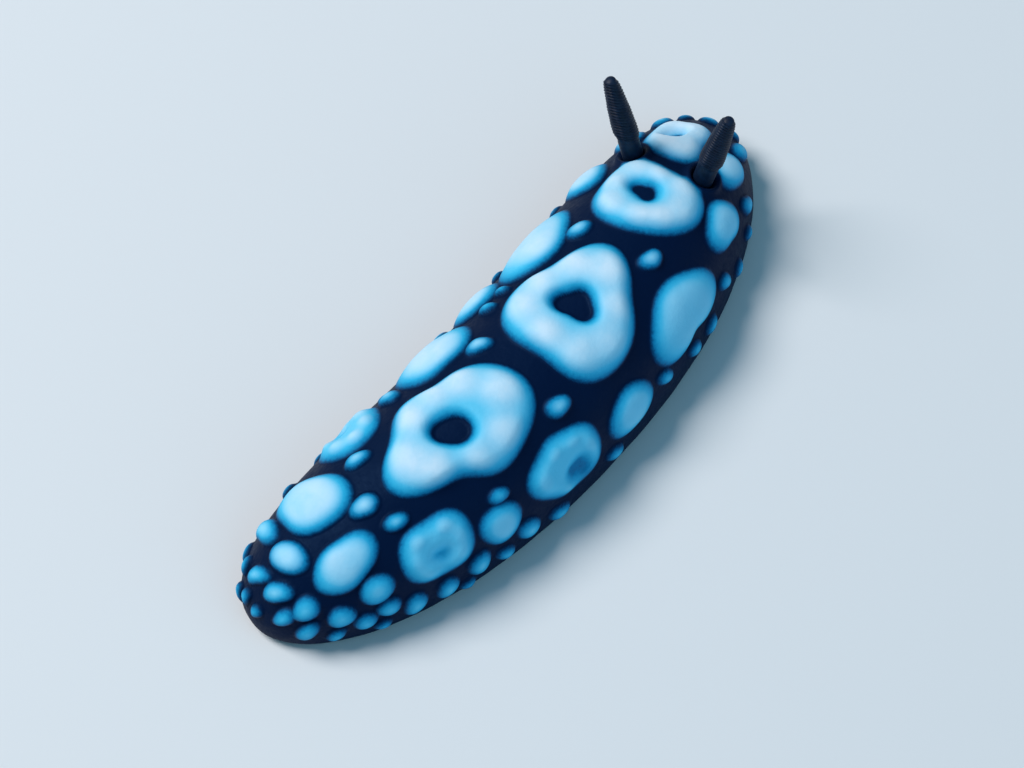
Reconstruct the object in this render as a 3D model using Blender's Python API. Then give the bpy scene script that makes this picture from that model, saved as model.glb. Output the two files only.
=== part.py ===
# Phyllidiella annulata, a warty sea slug, life size and still, at rest on its own flat sole.
# +X runs to the head, +Y to the animal's left, +Z up, and the sole lies at z = 0. The slug is
# worked in millimetres, and each finished mesh is then brought to metres.

import math
import random

import bmesh
import bpy
from mathutils import Matrix, Vector

MM = 0.001
GAP = 0.3  # kept between two pieces that meet

# Body: a soft half barrel whose middle line is bent in one even curve to the animal's left
HEAD_REACH = 13.8  # from the body's middle, along the middle line
TAIL_REACH = 14.5
BODY_LENGTH = HEAD_REACH + TAIL_REACH
BODY_WIDTH = 8.2
BACK_HEIGHT = 4.75  # top of the back between the warts
RIM_HEIGHT = 0.45  # the mantle's outer edge, just clear of the ground
BEND_RADIUS = 41.5
TAIL_RISE = 0.05  # the rear stands this share higher than the middle
BOX_MIDDLE = Vector((-0.33, 0.17, 0))  # middle of the body's box, from the middle of its line
PLAN_FULLNESS = 2.7  # the higher, the longer the sides stay straight
PLAN_ENDS = 0.44  # the lower, the blunter head and tail are
CREST_FULLNESS = 3
BACK_ROUNDNESS = 0.9
UNDERSIDE_FULLNESS = 6

# Mantle underside, from the edge to the middle: share of the half width, then height above the ground
UNDERSIDE = (
    (1.0, RIM_HEIGHT),
    (0.985, 0.27),
    (0.95, 0.2),
    (0.885, 0.42),
    (0.845, 0.8),
    (0.79, 1.08),
    (0.6, 1.15),
    (0.3, 1.15),
    (0.0, 1.15),
)
MANTLE_RINGS = 44
MANTLE_SIDES = 32

# The mantle is parted here, in millimetres ahead of its middle
MANTLE_CUTS = {
    "mantle_head": (5.6, 99),
    "mantle_fore": (-1.6, 5.6),
    "mantle_hind": (-8.6, -1.6),
    "mantle_tail": (-99, -8.6),
}

# Warts: millimetres ahead of the middle, degrees round from the crest (left is +), length and
# width in millimetres, the turn of the length from the body's line (to the left is +), and the
# lobes of the outline as (count, depth, direction). A ring also has a pit, and puffs round it.
RINGS = {
    "brow": dict(
        at=(11.4, 10),
        size=(3.0, 2.65),
        turn=0,
        lobes=((3, 0.07, 80), (4, 0.07, -45)),
        pit=dict(at=(11.72, 15), size=(0.55, 0.3), turn=-50, lobes=()),
        puffs=(-152, -100, -40, 15, 62, 118, 168),
    ),
    "collar": dict(
        at=(7.88, 3),
        size=(4.55, 3.75),
        turn=-81,
        lobes=((3, 0.08, 43), (4, 0.03, 41)),
        pit=dict(at=(8.0, 5), size=(0.98, 0.62), turn=80, lobes=((3, 0.12, 90),)),
        puffs=(-168, -130, -92, -50, 0, 45, 90, 140),
    ),
    "saddle": dict(
        at=(1.94, -4.3),
        size=(5.6, 5.2),
        turn=19,
        lobes=((3, 0.115, 7), (4, 0.02, 14), (5, 0.024, 8)),
        pit=dict(at=(2.08, -3.5), size=(1.5, 1.15), turn=104, lobes=((3, 0.14, 128),)),
        puffs=(174, 127, 84, 36, -4, -51, -98, -137),
    ),
    "rump": dict(
        at=(-4.65, -4),
        size=(6.6, 4.45),
        turn=-10,
        lobes=((3, 0.035, -57), (4, 0.07, 13), (5, 0.045, -27)),
        pit=dict(at=(-4.95, -4.4), size=(1.5, 1.08), turn=-32, lobes=((3, 0.05, 150),)),
        puffs=(-102, -54, -4, 41, 84, 130, 176, -157),
    ),
    "right_hip": dict(
        at=(-7.95, -51.5),
        size=(3.3, 2.6),
        turn=0,
        lobes=((4, 0.055, 40),),
        pit=dict(at=(-7.9, -56), size=(0.5, 0.34), turn=-20, lobes=()),
        puffs=(130, 50, -38, -140, 180, 0),
    ),
    "right_flank": dict(
        at=(-2.35, -60.5),
        size=(3.75, 2.85),
        turn=-7,
        lobes=((3, 0.02, 60), (5, 0.035, 27)),
        pit=dict(at=(-2.0, -68), size=(1.05, 0.72), turn=-25, lobes=((3, 0.1, -60),)),
        puffs=(115, 55, 0, -55, -120, 172),
    ),
    "left_hip": dict(
        at=(-7.5, 48.5),
        size=(3.1, 2.65),
        turn=8,
        lobes=((3, 0.05, -90), (4, 0.03, 40)),
        pit=dict(at=(-7.7, 56), size=(0.55, 0.4), turn=0, lobes=()),
        puffs=(-150, -95, -35, 20, 80, 140),
    ),
}
LARGE_WARTS = (
    (-10.6, 24.5, 3.45, 2.6, -57, ((3, 0.09, -16),)),
    (-11.0, -28.5, 2.95, 1.85, 12, ((3, 0.06, 7),)),
    (-5.55, -62.5, 1.95, 1.75, -10, ((3, 0.04, 20),)),
    (4.8, -54, 4.6, 2.6, 0, ((3, 0.12, -30), (4, 0.04, 45))),
    (0.9, -67, 2.65, 1.9, 4, ((3, 0.05, 80),)),
    (8.75, -49, 2.45, 1.75, -6, ((3, 0.09, -51),)),
    (11.05, -38.4, 2.05, 1.65, -20, ((3, 0.06, 60),)),
    (8.2, 55, 2.2, 2.0, 0, ((3, 0.04, 15),)),
    (4.0, 46.5, 4.2, 2.6, 4, ((3, 0.05, -90),)),
    (0.6, 58.5, 2.45, 1.9, 0, ((3, 0.04, 70),)),
    (-2.75, 46.5, 3.8, 2.6, -3, ((4, 0.04, -45),)),
)
SMALL_WARTS = (
    (-12.45, 2, 1.8, 1.25, -60),
    (-10.45, -55, 1.45, 1.2, 10),
    (-12.85, -45.5, 1.2, 0.95, 20),
    (-12.4, 44, 1.9, 0.95, 90),
    (-13.6, 16, 1.3, 0.7, -50),
    (-13.4, -17, 1.35, 0.8, -30),
    (-13.6, -46, 1.0, 0.65, 10),
    (-11.9, -64, 1.15, 0.95, 0),
    (-11.2, -76, 0.95, 0.8, 0),
    (-10.3, -72, 1.0, 0.85, 0),
    (-9.4, -79.5, 1.15, 0.95, 60),
    (-8.15, -80.5, 1.1, 0.95, 60),
    (-6.8, -77.5, 1.15, 1.0, 60),
    (-5.75, -83, 0.9, 0.65, -30),
    (-4.65, -78.5, 1.2, 0.95, -40),
    (-3.3, -85, 1.1, 0.7, -20),
    (5.2, 24.5, 1.15, 0.75, -25),
    (-1.5, 23, 1.15, 0.75, -27),
    (-5.3, 46, 1.05, 0.8, -60),
    (-8.25, 22, 1.15, 0.7, -14),
    (-9.25, -5.5, 1.25, 0.85, -6),
    (-8.7, -24.5, 1.05, 0.65, -10),
    (0.3, 40, 0.8, 0.5, -40),
    (5.45, -20.5, 1.15, 0.75, -20),
    (-1.4, -33, 1.2, 0.8, -11),
    (-5.15, -47.5, 0.95, 0.6, -10),
    (2.75, -72, 0.95, 0.6, -30),
    (-0.4, -82, 1.0, 0.6, -20),
    (12.4, -50, 1.2, 0.8, -30),
    (10.4, -66, 1.0, 0.7, -30),
    (7.2, -72, 0.9, 0.65, -30),
    (10.9, 52, 1.6, 1.3, 10),
    (12.5, 46, 1.0, 0.75, 0),
    (-13.1, -70, 1.1, 0.7, 30),
    (-12.25, -81, 0.85, 0.55, 30),
    (-10.65, -85, 0.7, 0.45, 0),
    (-7.4, -87, 0.7, 0.45, 0),
    (1.35, 41.5, 0.7, 0.4, -50),
    (-13.65, 50, 0.75, 0.5, 0),
    (-13.2, 76, 0.9, 0.6, 20),
    (-14.25, 62, 0.65, 0.5, 0),
    (-14.25, 22, 0.65, 0.5, 0),
    (-14.25, -20, 0.6, 0.5, 0),
    (13.45, -3, 0.65, 0.85, 0),
    (13.4, 44, 0.7, 0.6, 0),
    (13.25, -48, 0.65, 0.5, 0),
)
MARGIN_ROWS = (68, 80)  # degrees: rows of tiny warts fill what room is left above the edge
MARGIN_STEP = 1.3
MARGIN_SIZES = (0.65, 1.0)
MARGIN_OVAL = 0.75
MARGIN_SCATTER = (0.2, 3, 0.8)  # millimetres along, degrees round, radians of turn
MARGIN_END = 0.93  # no tiny warts nearer to the tips than this share
WART_ROOM = 0.3  # least skin between a tiny wart and the next wart
WART_RISE = 0.18  # height of a wart of no size, to which WART_SWELL of its size is added
WART_SWELL = 0.07
WART_ROOT = 0.4
WART_ROOT_SHARE = 0.93  # the root's outline as a share of the wart's
SMALL_LOBES = (0.02, 0.06)
# Rows over a wart: share of the way from its core to its outline, share of its height
DOME_ROWS = ((1.0, 0.2), (0.84, 0.78), (0.45, 1.0), (0.0, 1.05))
RING_ROWS = ((1.0, 0.2), (0.82, 0.78), (0.5, 1.0), (0.18, 0.86), (0.0, 0.55))
PUFF_WIDTH = math.radians(21)
PUFF_RISE = 0.25  # share of a ring's height between the tops of its puffs and the dips
PIT_FLOOR = 0.07  # height of the pit's floor over the skin
PIT_SLOPE = 0.65  # the floor's width as a share of the pit's
LARGE_SIDES = 26
MIDDLE_SIDES = 14
RING_SPLIT = 4  # rings longer than this take the most sides
SMALL_SIDES = 8

# Feelers on the back: a clubbed stack of thin leaves on a short stalk, in a low collar of skin
RHINOPHORES = {"left": (9.8, 31, 14.5), "right": (9.9, -22.5, 12)}  # ahead, round, outward lean
RHINOPHORE_LENGTH = 4.5  # from the skin to the tip
RHINOPHORE_LEAN = math.radians(5)  # forward
CLUB_RADIUS = 0.54
STALK_RADIUS = 0.42
STALK_TOP = 1.0
LEAVES = 10
LEAVES_END = 0.3  # below the tip
LEAF_DEPTH = 0.09
CLUB_WAVE = (0.3, 0.75)  # the club's swelling starts and runs on by these shares of a half wave
CLUB_TAPER = 0.2
TIP_ROWS = ((0.55, 0.08), (0, 0))  # share of the last leaf's radius, distance below the tip
STALK_ROWS = ((0, 0), (0.9, 0), (1, 0.1))  # share of the stalk's radius, height above its foot
COLLAR_RADIUS = 0.72
COLLAR_HEIGHT = 0.22
COLLAR_ROWS = ((0, -0.9), (0.75, -0.9), (1.05, -0.1), (1, COLLAR_HEIGHT), (0, COLLAR_HEIGHT))
FEELER_SIDES = 12

# Sole, narrower than the mantle that roofs it
FOOT_MIDDLE = -1.2
FOOT_LENGTH = 22.4
FOOT_HALF_WIDTHS = ((0.0, 2.15), (0.25, 2.3), (0.85, 2.0))  # height, half width
FOOT_SIDES = 56
FOOT_BLUNTNESS = 0.7
FOOT_ENDS = 0.9

# Gills: a row of soft leaves in the groove on each side, between the sole and the mantle
GILL_REACH = (-10.4, 8.6)
GILL_ROOT = (0.64, 0.76, 0.35, 0.8)  # inner and outer share of the half width, lower and upper height
GILL_STRIP_PIECES = 14
GILL_LEAVES = 21
GILL_LEAF_ROOT = (0.67, 0.27, 0.74)  # share of the half width, lower and upper height
GILL_LEAF_TIP = (0.81, 0.22, 0.58)
GILL_LEAF_THICKNESS = (0.5, 0.3)  # at its root and at its tip
GILL_LEAF_SIZES = (0.82, 1.0)  # at the ends of the row and in its middle
GILL_LEAF_CHANCE = 0.06

# Mouth: a low bulb ahead of the sole with a short feeler on each side
MOUTH_PLACE = (11.1, 0.37)  # ahead, height
MOUTH_HALF_SIZE = (0.72, 1.0, 0.25)
MOUTH_NOTCH = (0.16, 0.22)  # depth and half width, as shares of the bulb's
TENTACLE_LENGTH = 0.95
TENTACLE_RADIUS = 0.25
TENTACLE_ROWS = ((0, 0), (0.9, 0), (1, 0.12), (0.8, 0.6), (0.45, 0.93), (0, 1))
TENTACLE_SIDES = 10
TENTACLE_ROOT = (12.1, 0.72, 0.42)  # ahead, out, up
TENTACLE_SPLAY = math.radians(24)

SHARP_EDGE = math.radians(60)
FINISHES = {  # colour, roughness
    "mantle black": ((0.006, 0.011, 0.022, 1), 0.42),
    "wart white": ((0.55, 0.76, 0.93, 1), 0.45),
    "rhinophore black": ((0.008, 0.014, 0.03, 1), 0.5),
    "sole grey": ((0.11, 0.13, 0.17, 1), 0.5),
    "mouth grey": ((0.12, 0.14, 0.18, 1), 0.5),
    "oral tentacle grey": ((0.11, 0.13, 0.17, 1), 0.5),
    "gill grey": ((0.16, 0.18, 0.22, 1), 0.5),
}


def clear_scene():
    for obj in list(bpy.data.objects):
        bpy.data.objects.remove(obj, do_unlink=True)


def finish(kind, label=""):
    colour, roughness = FINISHES[kind]
    material = bpy.data.materials.new(f"{kind} {label}".strip())
    material.use_nodes = True
    shader = material.node_tree.nodes["Principled BSDF"]
    shader.inputs["Base Color"].default_value = colour
    shader.inputs["Roughness"].default_value = roughness
    shader.inputs["Metallic"].default_value = 0.0
    material.diffuse_color = colour
    return material


def place(along, left, height):
    """A point beside the bent middle line."""
    turn = along / BEND_RADIUS
    middle = Vector((BEND_RADIUS * math.sin(turn), BEND_RADIUS * (1 - math.cos(turn)), height))
    return middle + Vector((-math.sin(turn), math.cos(turn), 0)) * left - BOX_MIDDLE


def end_share(along):
    """0 at the middle of the body and 1 at its tips."""
    return min(along / HEAD_REACH if along > 0 else -along / TAIL_REACH, 1.0)


def half_width(along):
    return BODY_WIDTH / 2 * (1 - end_share(along) ** PLAN_FULLNESS) ** PLAN_ENDS


def back_rise(along):
    """How far the crest stands above the rim."""
    rise = (BACK_HEIGHT - RIM_HEIGHT) * math.sqrt(1 - end_share(along) ** CREST_FULLNESS)
    return rise * (1 - TAIL_RISE * along / TAIL_REACH)


def back_point(along, around):
    """The back at an angle round from the crest. Past the rim it drops straight down."""
    past = abs(around) - math.pi / 2
    if past > 0:
        left = math.copysign(half_width(along), around)
        return place(along, left, RIM_HEIGHT - half_width(along) * past)
    height = RIM_HEIGHT + back_rise(along) * math.cos(around) ** BACK_ROUNDNESS
    return place(along, half_width(along) * math.sin(around), height)


def underside_point(along, share):
    """The mantle from its edge (share 0 or 2) to the middle of its underside (share 1)."""
    side = 1 if share < 1 else -1
    steps = len(UNDERSIDE) - 1
    reach = (share if share < 1 else 2 - share) * steps
    step = min(int(reach), steps - 1)
    outer, inner = UNDERSIDE[step], UNDERSIDE[step + 1]
    part = reach - step
    width = outer[0] + (inner[0] - outer[0]) * part
    height = outer[1] + (inner[1] - outer[1]) * part
    flat = math.sqrt(1 - end_share(along) ** UNDERSIDE_FULLNESS)
    return place(along, side * width * half_width(along), RIM_HEIGHT + (height - RIM_HEIGHT) * flat)


def back_frame(along, around):
    """The back's point, outward normal, and travel for each metre along and each radian round."""
    small = 1e-3
    step = small * BODY_LENGTH
    ahead = back_point(along + step, around) - back_point(along - step, around)
    across = back_point(along, around + small) - back_point(along, around - small)
    normal = ahead.cross(across).normalized()
    return back_point(along, around), normal, ahead.length / (2 * step), across.length / (2 * small)


def raised_point(along, around, height):
    point, normal, _, _ = back_frame(along, around)
    return point + normal * height


def sphere_rows(rows, sides):
    """A closed ball mesh and its vertices' (row, angle): row 0 is one pole and the last the other."""
    ball = bmesh.new()
    bmesh.ops.create_uvsphere(ball, u_segments=sides, v_segments=rows, radius=1)
    spots = []
    for vertex in ball.verts:
        x, y, z = vertex.co
        spots.append((round(math.acos(max(-1, min(1, z))) / math.pi * rows), math.atan2(y, x)))
    return ball, spots


def new_object(name, mesh_edit, *materials):
    mesh_edit.normal_update()
    bmesh.ops.recalc_face_normals(mesh_edit, faces=mesh_edit.faces)
    mesh = bpy.data.meshes.new(name)
    mesh_edit.to_mesh(mesh)
    mesh_edit.free()
    for material in materials:
        mesh.materials.append(material)
    mesh.shade_smooth()
    obj = bpy.data.objects.new(name, mesh)
    bpy.context.scene.collection.objects.link(obj)
    return obj


def mantle_body(material):
    """The plain mantle, its poles at the tips of head and tail."""
    skin = bmesh.new()
    bmesh.ops.create_uvsphere(skin, u_segments=MANTLE_SIDES, v_segments=MANTLE_RINGS, radius=1)
    for vertex in skin.verts:
        along = vertex.co.z * (HEAD_REACH if vertex.co.z > 0 else TAIL_REACH)
        around = math.atan2(vertex.co.y, vertex.co.x)
        if abs(around) <= math.pi / 2 + 1e-4:
            vertex.co = back_point(along, max(-math.pi / 2, min(math.pi / 2, around)))
        else:
            vertex.co = underside_point(along, (around % (2 * math.pi) - math.pi / 2) / (math.pi / 2))
    return new_object("mantle", skin, material)


def outline(angle, size, turn, lobes):
    """Distance from a wart's middle to its edge, in a direction from the body's line."""
    tilted = angle - turn
    oval = size[0] * size[1] / 2 / math.hypot(size[1] * math.cos(tilted), size[0] * math.sin(tilted))
    waves = [depth * math.cos(count * (angle - math.radians(way))) for count, depth, way in lobes]
    return oval * (1 + sum(waves))


def puffed(angle, puffs):
    """1 on a ring's puffs and less in the dips between them."""
    away = [(angle - math.radians(way) + math.pi) % (2 * math.pi) - math.pi for way in puffs]
    return 1 - PUFF_RISE * (1 - min(1, sum(math.exp(-((turn / PUFF_WIDTH) ** 2)) for turn in away)))


def wart(name, at, size, turn, lobes, sides, materials, pit=None, puffs=()):
    """One wart, mapped onto the curve of the back, with a dark pit where it has one."""
    along, around = at
    _, _, ahead_scale, across_scale = back_frame(along, around)
    swell = WART_RISE + WART_SWELL * math.sqrt(size[0] * size[1])
    rows = RING_ROWS if pit else DOME_ROWS
    profile = [(0.0, -WART_ROOT), (WART_ROOT_SHARE, -WART_ROOT)]
    profile += [(share, height * swell) for share, height in rows]
    core_x = core_y = 0.0
    if pit:
        core_x = (pit["at"][0] - along) * ahead_scale
        core_y = (math.radians(pit["at"][1]) - around) * across_scale
        profile += [(PIT_SLOPE - 1, PIT_FLOOR), (-1.0, PIT_FLOOR)]
    piece, spots = sphere_rows(len(profile) - 1, sides)
    for vertex, (row, angle) in zip(piece.verts, spots):
        share, height = profile[row]
        x, y = core_x, core_y
        if pit and share > -1:
            reach = outline(angle, pit["size"], math.radians(pit["turn"]), pit["lobes"]) * min(1, 1 + share)
            x += reach * math.cos(angle)
            y += reach * math.sin(angle)
        if share > 0:
            edge = outline(angle, size, turn, lobes)
            x += (edge * math.cos(angle) - x) * share
            y += (edge * math.sin(angle) - y) * share
            height *= puffed(angle, puffs) if puffs and height > 0 else 1
        if row == 0:
            x = y = 0.0
        vertex.co = raised_point(along + x / ahead_scale, around + y / across_scale, height)
    if pit:
        darken_pit(piece, spots, len(profile))
    return new_object(name, piece, *materials)


def darken_pit(piece, spots, rows):
    rows_of = {vertex: spot[0] for vertex, spot in zip(piece.verts, spots)}
    for face in piece.faces:
        if min(rows_of[vertex] for vertex in face.verts) >= rows - 3:
            face.material_index = 1


def listed_warts():
    """Every wart set by hand, as the values that wart() takes after the name."""
    warts = []
    for ring in RINGS.values():
        warts.append(
            dict(
                at=(ring["at"][0], math.radians(ring["at"][1])),
                size=ring["size"],
                turn=math.radians(ring["turn"]),
                lobes=ring["lobes"],
                sides=LARGE_SIDES if ring["size"][0] > RING_SPLIT else MIDDLE_SIDES,
                pit=ring["pit"],
                puffs=ring["puffs"],
            )
        )
    for along, around, length, width, turn, lobes in LARGE_WARTS:
        values = dict(at=(along, math.radians(around)), size=(length, width), turn=math.radians(turn))
        warts.append(dict(values, lobes=lobes, sides=MIDDLE_SIDES))
    draw = random.Random(5)
    for along, around, length, width, turn in SMALL_WARTS:
        values = dict(at=(along, math.radians(around)), size=(length, width), turn=math.radians(turn))
        lobes = ((3, draw.uniform(*SMALL_LOBES), draw.uniform(0, 120)),)
        warts.append(dict(values, lobes=lobes, sides=SMALL_SIDES))
    return warts


def room_around(along, around, size, warts):
    """Bare skin between a tiny wart and the nearest other, measured along the back."""
    _, _, ahead_scale, across_scale = back_frame(along, around)
    rooms = []
    for other in warts:
        x = (along - other["at"][0]) * ahead_scale
        y = (around - other["at"][1]) * across_scale
        edge = outline(math.atan2(y, x), other["size"], other["turn"], other["lobes"])
        rooms.append(math.hypot(x, y) - size / 2 - edge)
    return min(rooms)


def margin_warts(listed):
    """Tiny warts in rows above the edge, wherever the larger ones leave room."""
    draw = random.Random(11)
    slip, swing, twist = MARGIN_SCATTER
    warts = list(listed)
    for side in (1, -1):
        for row, degrees in enumerate(MARGIN_ROWS):
            for step in range(1, int(BODY_LENGTH / MARGIN_STEP)):
                along = (step + 0.5 * row) * MARGIN_STEP - TAIL_REACH + draw.uniform(-slip, slip)
                around = side * math.radians(degrees + draw.uniform(-swing, swing))
                size = draw.uniform(*MARGIN_SIZES)
                turn = draw.uniform(-twist, twist)
                if end_share(along) > MARGIN_END or room_around(along, around, size, warts) < WART_ROOM:
                    continue
                values = dict(at=(along, around), size=(size, MARGIN_OVAL * size), turn=turn)
                warts.append(dict(values, lobes=(), sides=SMALL_SIDES - 1))
    return warts[len(listed):]


def turned(name, profile, sides, base, axis, materials):
    """A round piece from (radius, height) rows, the first and last on its axis."""
    piece, spots = sphere_rows(len(profile) - 1, sides)
    up = axis.normalized()
    across = up.orthogonal().normalized()
    other = up.cross(across)
    for vertex, (row, angle) in zip(piece.verts, spots):
        radius, height = profile[row]
        sideways = across * math.cos(angle) + other * math.sin(angle)
        vertex.co = base + up * height + sideways * radius
    return new_object(name, piece, *materials)


def rhinophore_base(side):
    along, around, lean = RHINOPHORES[side]
    outward = math.copysign(math.tan(math.radians(lean)), around)
    turn = along / BEND_RADIUS
    forward = Vector((math.cos(turn), math.sin(turn), 0))
    left = Vector((-math.sin(turn), math.cos(turn), 0))
    axis = forward * math.tan(RHINOPHORE_LEAN) + left * outward + Vector((0, 0, 1))
    return back_point(along, math.radians(around)), axis.normalized()


def collar(side, materials):
    """The low sheath of skin that a feeler rises from."""
    base, axis = rhinophore_base(side)
    profile = [(share * COLLAR_RADIUS, height) for share, height in COLLAR_ROWS]
    return turned("collar_" + side, profile, FEELER_SIDES + 2, base, axis, materials)


def rhinophore(side, materials):
    """Stalk, then a club of leaves that narrows to a blunt tip."""
    base, axis = rhinophore_base(side)
    start = COLLAR_HEIGHT + GAP
    profile = [(share * STALK_RADIUS, start + height) for share, height in STALK_ROWS]
    reach = RHINOPHORE_LENGTH - LEAVES_END - STALK_TOP
    for leaf in range(2 * LEAVES + 1):
        share = leaf / (2 * LEAVES)
        wave = math.sin(math.pi * min(1, CLUB_WAVE[0] + CLUB_WAVE[1] * share))
        club = STALK_RADIUS + (CLUB_RADIUS - STALK_RADIUS) * wave
        radius = club * (1 - CLUB_TAPER * share) - (0 if leaf % 2 else LEAF_DEPTH)
        profile.append((radius, STALK_TOP + reach * share))
    last = profile[-1][0]
    profile += [(share * last, RHINOPHORE_LENGTH - below) for share, below in TIP_ROWS]
    return turned("rhinophore_" + side, profile, FEELER_SIDES, base, axis, materials)


def foot(materials):
    """The sole: a slab with a rounded border, bent with the body."""
    slab = bmesh.new()
    bmesh.ops.create_circle(slab, cap_ends=True, segments=FOOT_SIDES, radius=1)
    edge = []
    for vertex in slab.verts:
        x, y, _ = vertex.co
        edge.append((math.copysign(abs(x) ** FOOT_ENDS, x), math.copysign(abs(y) ** FOOT_BLUNTNESS, y)))
    layer = list(slab.verts)
    top = slab.faces[:]
    for step, (height, half) in enumerate(FOOT_HALF_WIDTHS):
        if step:
            inner = top if step > 1 else []
            grown = bmesh.ops.extrude_face_region(slab, geom=top)["geom"]
            layer = [item for item in grown if isinstance(item, bmesh.types.BMVert)]
            top = [item for item in grown if isinstance(item, bmesh.types.BMFace)]
            bmesh.ops.delete(slab, geom=inner, context="FACES_ONLY")
        length = FOOT_LENGTH / 2 - (FOOT_HALF_WIDTHS[1][1] - half)
        for vertex, (x, y) in zip(layer, edge):
            vertex.co = place(FOOT_MIDDLE + x * length, y * half, height)
    return new_object("foot", slab, *materials)


def bent_bar(name, along, left, height, pieces, materials):
    """A bar along the body at shares of its half width, cut into pieces so that it bends with it."""
    box = bmesh.new()
    bmesh.ops.create_cube(box, size=1)
    long_edges = [edge for edge in box.edges if abs(edge.verts[0].co.x - edge.verts[1].co.x) > 0.5]
    if pieces > 1:
        bmesh.ops.subdivide_edges(box, edges=long_edges, cuts=pieces - 1, use_grid_fill=True)
    for vertex in box.verts:
        share = vertex.co + Vector((0.5, 0.5, 0.5))
        spans = [low + (high - low) * part for (low, high), part in zip((along, left, height), share)]
        vertex.co = place(spans[0], spans[1] * half_width(spans[0]), spans[2])
    return new_object(name, box, *materials)


def gill_leaf(name, along, side, size, materials):
    """One soft leaf, thinner and lower at its tip."""
    leaf = bmesh.new()
    bmesh.ops.create_cube(leaf, size=1)
    inner = GILL_LEAF_ROOT[0]
    for vertex in leaf.verts:
        tip = vertex.co.y > 0
        out, low, high = GILL_LEAF_TIP if tip else GILL_LEAF_ROOT
        left = side * (inner + (out - inner) * size) * half_width(along)
        thickness = GILL_LEAF_THICKNESS[1 if tip else 0]
        vertex.co = place(along + vertex.co.x * thickness, left, high if vertex.co.z > 0 else low)
    return new_object(name, leaf, *materials)


def gills(label, side, materials):
    """A row of leaves on one root strip, smaller towards both ends."""
    inner, outer, low, high = GILL_ROOT
    across = (side * inner, side * outer)
    root = bent_bar("gills_" + label, GILL_REACH, across, (low, high), GILL_STRIP_PIECES, materials)
    draw = random.Random(21 + side)
    smallest, largest = GILL_LEAF_SIZES
    leaves = []
    for step in range(GILL_LEAVES):
        share = (step + 0.5) / GILL_LEAVES
        along = GILL_REACH[0] + (GILL_REACH[1] - GILL_REACH[0]) * share
        size = smallest + (largest - smallest) * math.sin(math.pi * share)
        size -= draw.uniform(0, GILL_LEAF_CHANCE)
        leaves.append(gill_leaf(f"leaf_{label}_{step}", along, side, size, materials))
    return joined(root, leaves)


def mouth(materials):
    """The bulb that holds the mouth, with a shallow notch along its front."""
    bulb = bmesh.new()
    bmesh.ops.create_uvsphere(bulb, u_segments=16, v_segments=8, radius=1)
    ahead, up = MOUTH_PLACE
    length, width, height = MOUTH_HALF_SIZE
    depth, spread = MOUTH_NOTCH
    for vertex in bulb.verts:
        x, y, z = vertex.co
        notch = 1 - depth * max(0, x) * math.exp(-((y / spread) ** 2))
        vertex.co = place(ahead + x * length * notch, y * width, up + z * height)
    return new_object("mouth", bulb, *materials)


def oral_tentacle(label, side, materials):
    """A short blunt feeler beside the mouth, its root face turned to the bulb."""
    ahead, out, up = TENTACLE_ROOT
    turn = ahead / BEND_RADIUS + side * TENTACLE_SPLAY
    axis = Vector((math.cos(turn), math.sin(turn), 0))
    profile = [(wide * TENTACLE_RADIUS, far * TENTACLE_LENGTH) for wide, far in TENTACLE_ROWS]
    root = place(ahead, side * out, up)
    return turned("oral_tentacle_" + label, profile, TENTACLE_SIDES, root, axis, materials)


def evaluated_mesh(obj):
    graph = bpy.context.evaluated_depsgraph_get()
    solved = obj.evaluated_get(graph)
    return bpy.data.meshes.new_from_object(solved, preserve_all_data_layers=True, depsgraph=graph)


def joined(obj, pieces):
    """The object with every piece fused to it."""
    group = bpy.data.collections.new(obj.name + "_pieces")
    for piece in pieces:
        group.objects.link(piece)
    union = obj.modifiers.new("union", "BOOLEAN")
    union.operation = "UNION"
    union.operand_type = "COLLECTION"
    union.solver = "EXACT"
    union.material_mode = "TRANSFER"
    union.collection = group
    fused = evaluated_mesh(obj)
    obj.modifiers.clear()
    obj.data = fused
    for piece in pieces:
        bpy.data.objects.remove(piece, do_unlink=True)
    bpy.data.collections.remove(group)
    keep_largest(obj.data)
    return obj


def keep_largest(mesh):
    """Leaves only the largest closed surface."""
    edit = bmesh.new()
    edit.from_mesh(mesh)
    waiting = set(edit.faces)
    surfaces = []
    while waiting:
        reached = [waiting.pop()]
        surface = []
        while reached:
            face = reached.pop()
            surface.append(face)
            for edge in face.edges:
                for other in edge.link_faces:
                    if other in waiting:
                        waiting.remove(other)
                        reached.append(other)
        surfaces.append(surface)
    surfaces.sort(key=lambda surface: sum(face.calc_area() for face in surface))
    for surface in surfaces[:-1]:
        bmesh.ops.delete(edit, geom=surface, context="FACES")
    edit.to_mesh(mesh)
    edit.free()


def part_mantle(whole):
    """The mantle's lengths, each cut square to the middle line with a thin gap to the next."""
    for name, ends in MANTLE_CUTS.items():
        edit = bmesh.new()
        edit.from_mesh(whole.data)
        for end, outward in zip(ends, (-1, 1)):
            along = end - outward * GAP / 2
            if not -TAIL_REACH < along < HEAD_REACH:
                continue
            turn = along / BEND_RADIUS
            bmesh.ops.bisect_plane(
                edit,
                geom=edit.verts[:] + edit.edges[:] + edit.faces[:],
                dist=1e-4,
                plane_co=place(along, 0, 0),
                plane_no=Vector((math.cos(turn), math.sin(turn), 0)) * outward,
                clear_outer=True,
            )
            open_edges = [edge for edge in edit.edges if edge.is_boundary]
            bmesh.ops.holes_fill(edit, edges=open_edges, sides=0)
        bmesh.ops.triangulate(edit, faces=[face for face in edit.faces if len(face.verts) > 4])
        length = new_object(name, edit, *whole.data.materials)
        keep_largest(length.data)
        length.data.set_sharp_from_angle(angle=SHARP_EDGE)
    bpy.data.objects.remove(whole, do_unlink=True)


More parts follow.
